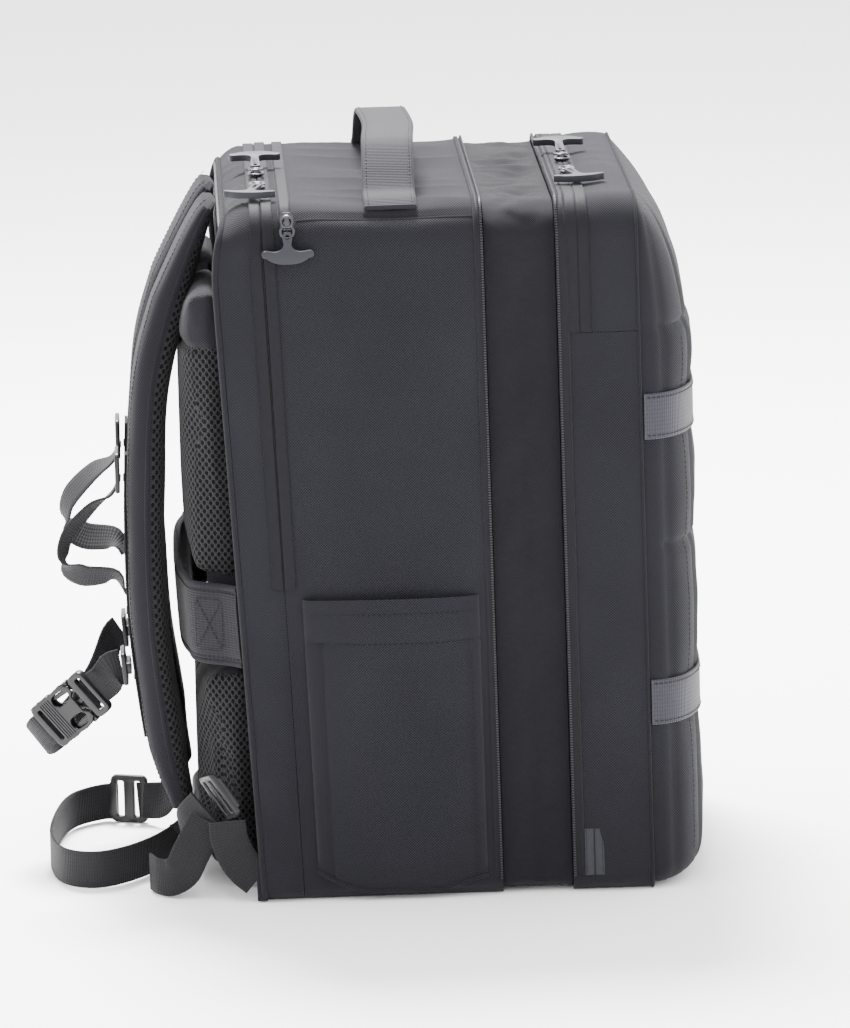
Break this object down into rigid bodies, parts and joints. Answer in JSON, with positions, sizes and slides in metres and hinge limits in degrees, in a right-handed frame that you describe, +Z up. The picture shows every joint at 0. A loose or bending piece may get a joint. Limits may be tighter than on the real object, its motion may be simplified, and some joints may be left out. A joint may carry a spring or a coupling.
{
  "type": "travel backpack",
  "caption": "Expandable cabin travel backpack with laptop, main and zip-flap front compartments, padded back, shoulder straps and clipped chest strap.",
  "frame": {"origin": "middle of the bag's flat base, under the main compartment", "axes": "+X across the bag, +Y towards the wearer's back, -Y towards the front panel, +Z up"},
  "size_m": [0.324, 0.448, 0.4963],
  "materials": {
    "cloth": "plain-woven dark grey polyester with a slight sheen",
    "lining": "thinner wrinkled polyester",
    "mesh": "black spacer mesh with hexagonal holes",
    "tape": "smooth coated zip tape",
    "webbing": "ribbed polypropylene webbing",
    "plastic": "moulded acetal, satin",
    "pull_plastic": "grey moulded pull",
    "metal": "dark gunmetal plating"
  },
  "bodies": {
    "bag": {"main_shell": "cloth", "laptop_divider": "lining", "rear_shell": "cloth", "frame_sheet": "plastic", "expansion_gusset": "lining", "rear_zip_tape_front": "tape", "rear_zip_tape_back": "tape", "main_zip_tape": "tape", "expansion_zip_rear": "tape", "side_pocket_left": "cloth", "side_pocket_right": "cloth", "carry_handle": "webbing", "upper_back_pad_left": "mesh", "upper_back_pad_right": "mesh", "lumbar_pad": "mesh", "trolley_sleeve": "webbing", "adjuster_webbing_left": "webbing", "adjuster_webbing_right": "webbing"},
    "front_section": {"front_shell": "cloth", "front_panel_lower": "cloth", "front_band_upper": "webbing", "front_band_lower": "webbing", "expansion_zip_front": "tape", "front_zip_tape_fixed": "tape", "bottom_zip_tape_left": "tape", "bottom_zip_tape_right": "tape"},
    "front_flap": {"front_flap": "cloth", "front_panel_upper": "cloth", "front_zip_tape_flap": "tape"},
    "front_slider_near": {"front_slider_near": "metal"},
    "front_slider_far": {"front_slider_far": "metal"},
    "front_pull_near": {"front_pull_near": "pull_plastic"},
    "front_pull_far": {"front_pull_far": "pull_plastic"},
    "rear_slider_near": {"rear_slider_near": "metal"},
    "rear_slider_far": {"rear_slider_far": "metal"},
    "rear_pull_near": {"rear_pull_near": "pull_plastic"},
    "rear_pull_far": {"rear_pull_far": "pull_plastic"},
    "main_slider": {"main_slider": "metal"},
    "main_pull": {"main_pull": "pull_plastic"},
    "expansion_slider": {"expansion_slider": "metal"},
    "strap_left": {"shoulder_strap_left": "cloth", "strap_rail_left": "webbing", "strap_triglide_left": "plastic", "strap_loop_left": "webbing", "strap_keeper_left": "webbing", "ladder_lock_left": "plastic", "webbing_tail_left": "webbing"},
    "strap_right": {"shoulder_strap_right": "cloth", "strap_rail_right": "webbing", "strap_triglide_right": "plastic", "strap_loop_right": "webbing", "strap_keeper_right": "webbing", "ladder_lock_right": "plastic"},
    "chest_slider_left": {"chest_slider_left": "plastic", "chest_webbing_left": "webbing", "buckle_plug": "plastic"},
    "chest_slider_right": {"chest_slider_right": "plastic", "chest_webbing_right": "webbing"},
    "buckle_socket": {"buckle_socket": "plastic"}
  },
  "joints": [
    {"name": "expansion_close", "type": "slide", "parent": "bag", "child": "front_section", "axis": [0, 1, 0], "range_m": [0, 0.045], "deforming": ["expansion_gusset"]},
    {"name": "flap_open", "type": "hinge", "parent": "front_section", "child": "front_flap", "pos_m": [0, -0.1745, 0.371], "axis": [1, 0, 0], "range_deg": [0, 60]},
    {"name": "front_slider_near_slide", "type": "slide", "parent": "front_flap", "child": "front_slider_near", "axis": [-1, 0, 0], "range_m": [0, 0.05]},
    {"name": "front_slider_far_slide", "type": "slide", "parent": "front_flap", "child": "front_slider_far", "axis": [1, 0, 0], "range_m": [0, 0.1]},
    {"name": "front_pull_near_lift", "type": "hinge", "parent": "front_slider_near", "child": "front_pull_near", "pos_m": [-0.0664, -0.0963, 0.463], "axis": [0, 1, 0], "range_deg": [0, 110]},
    {"name": "front_pull_far_lift", "type": "hinge", "parent": "front_slider_far", "child": "front_pull_far", "pos_m": [0.0144, -0.0963, 0.463], "axis": [0, -1, 0], "range_deg": [0, 110]},
    {"name": "rear_slider_near_slide", "type": "slide", "parent": "bag", "child": "rear_slider_near", "axis": [-1, 0, 0], "range_m": [0, 0.02]},
    {"name": "rear_slider_far_slide", "type": "slide", "parent": "bag", "child": "rear_slider_far", "axis": [1, 0, 0], "range_m": [0, 0.12]},
    {"name": "rear_pull_near_lift", "type": "hinge", "parent": "rear_slider_near", "child": "rear_pull_near", "pos_m": [-0.0934, 0.1064, 0.463], "axis": [0, 1, 0], "range_deg": [0, 110]},
    {"name": "rear_pull_far_lift", "type": "hinge", "parent": "rear_slider_far", "child": "rear_pull_far", "pos_m": [-0.0126, 0.1064, 0.463], "axis": [0, -1, 0], "range_deg": [0, 110]},
    {"name": "main_slider_slide", "type": "slide", "parent": "bag", "child": "main_slider", "axis": [0, -0.0295, -0.9996], "range_m": [0, 0.2]},
    {"name": "main_pull_lift", "type": "hinge", "parent": "main_slider", "child": "main_pull", "pos_m": [-0.155, 0.0891, 0.4416], "axis": [0, 1, 0], "range_deg": [0, 100]},
    {"name": "expansion_slider_slide", "type": "slide", "parent": "bag", "child": "expansion_slider", "axis": [0, 0.009, 1], "range_m": [0, 0.38]},
    {"name": "strap_left_swing", "type": "hinge", "parent": "bag", "child": "strap_left", "pos_m": [0, 0.1445, 0.441], "axis": [1, 0, 0], "range_deg": [0, 6]},
    {"name": "strap_right_swing", "type": "hinge", "parent": "bag", "child": "strap_right", "pos_m": [0, 0.1445, 0.441], "axis": [1, 0, 0], "range_deg": [0, 6], "deforming": ["adjuster_webbing_right", "adjuster_webbing_left"]},
    {"name": "chest_slider_left_slide", "type": "slide", "parent": "strap_left", "child": "chest_slider_left", "axis": [0, 0.09, 0.9959], "range_m": [-0.03, 0.03]},
    {"name": "chest_slider_right_slide", "type": "slide", "parent": "strap_right", "child": "chest_slider_right", "axis": [0, 0.09, 0.9959], "range_m": [-0.03, 0.03]},
    {"name": "buckle_unclip", "type": "slide", "parent": "chest_slider_right", "child": "buckle_socket", "axis": [0.4397, 0.6596, -0.6096], "range_m": [0, 0.03], "deforming": ["chest_webbing_right"]}
  ],
  "couplings": [
    {"joint": "strap_right_swing", "follows": "strap_left_swing", "ratio": 1},
    {"joint": "chest_slider_right_slide", "follows": "chest_slider_left_slide", "ratio": 1}
  ]
}
